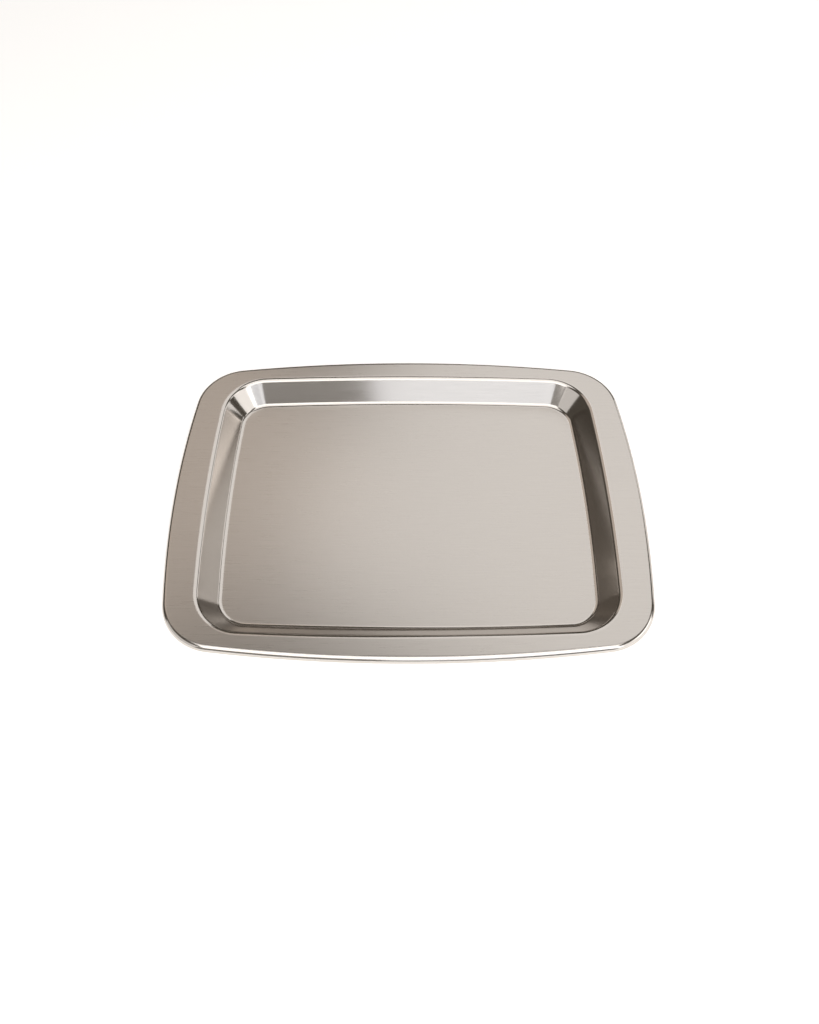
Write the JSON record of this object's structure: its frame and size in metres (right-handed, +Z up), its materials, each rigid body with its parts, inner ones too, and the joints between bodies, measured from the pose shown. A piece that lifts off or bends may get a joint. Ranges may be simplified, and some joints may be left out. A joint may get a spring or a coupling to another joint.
{
  "type": "counting tray",
  "caption": "Shallow rectangular pressed-steel tray for counting tablets: bowed sides, sloped basin walls, a wide flat rim and a rolled edge with a wire inside.",
  "frame": {"origin": "on the surface that the tray stands on, below the middle of the floor", "axes": "+X along the length, +Y across the width, +Z up out of the basin"},
  "size_m": [0.24, 0.18, 0.0132],
  "materials": {
    "brushed_stainless": "fine lengthwise satin grain on the flats, polished bends",
    "drawn_wire": "smooth drawn wire, dull grey"
  },
  "bodies": {
    "root": {"tray": "brushed_stainless", "rim_wire": "drawn_wire"}
  },
  "joints": []
}
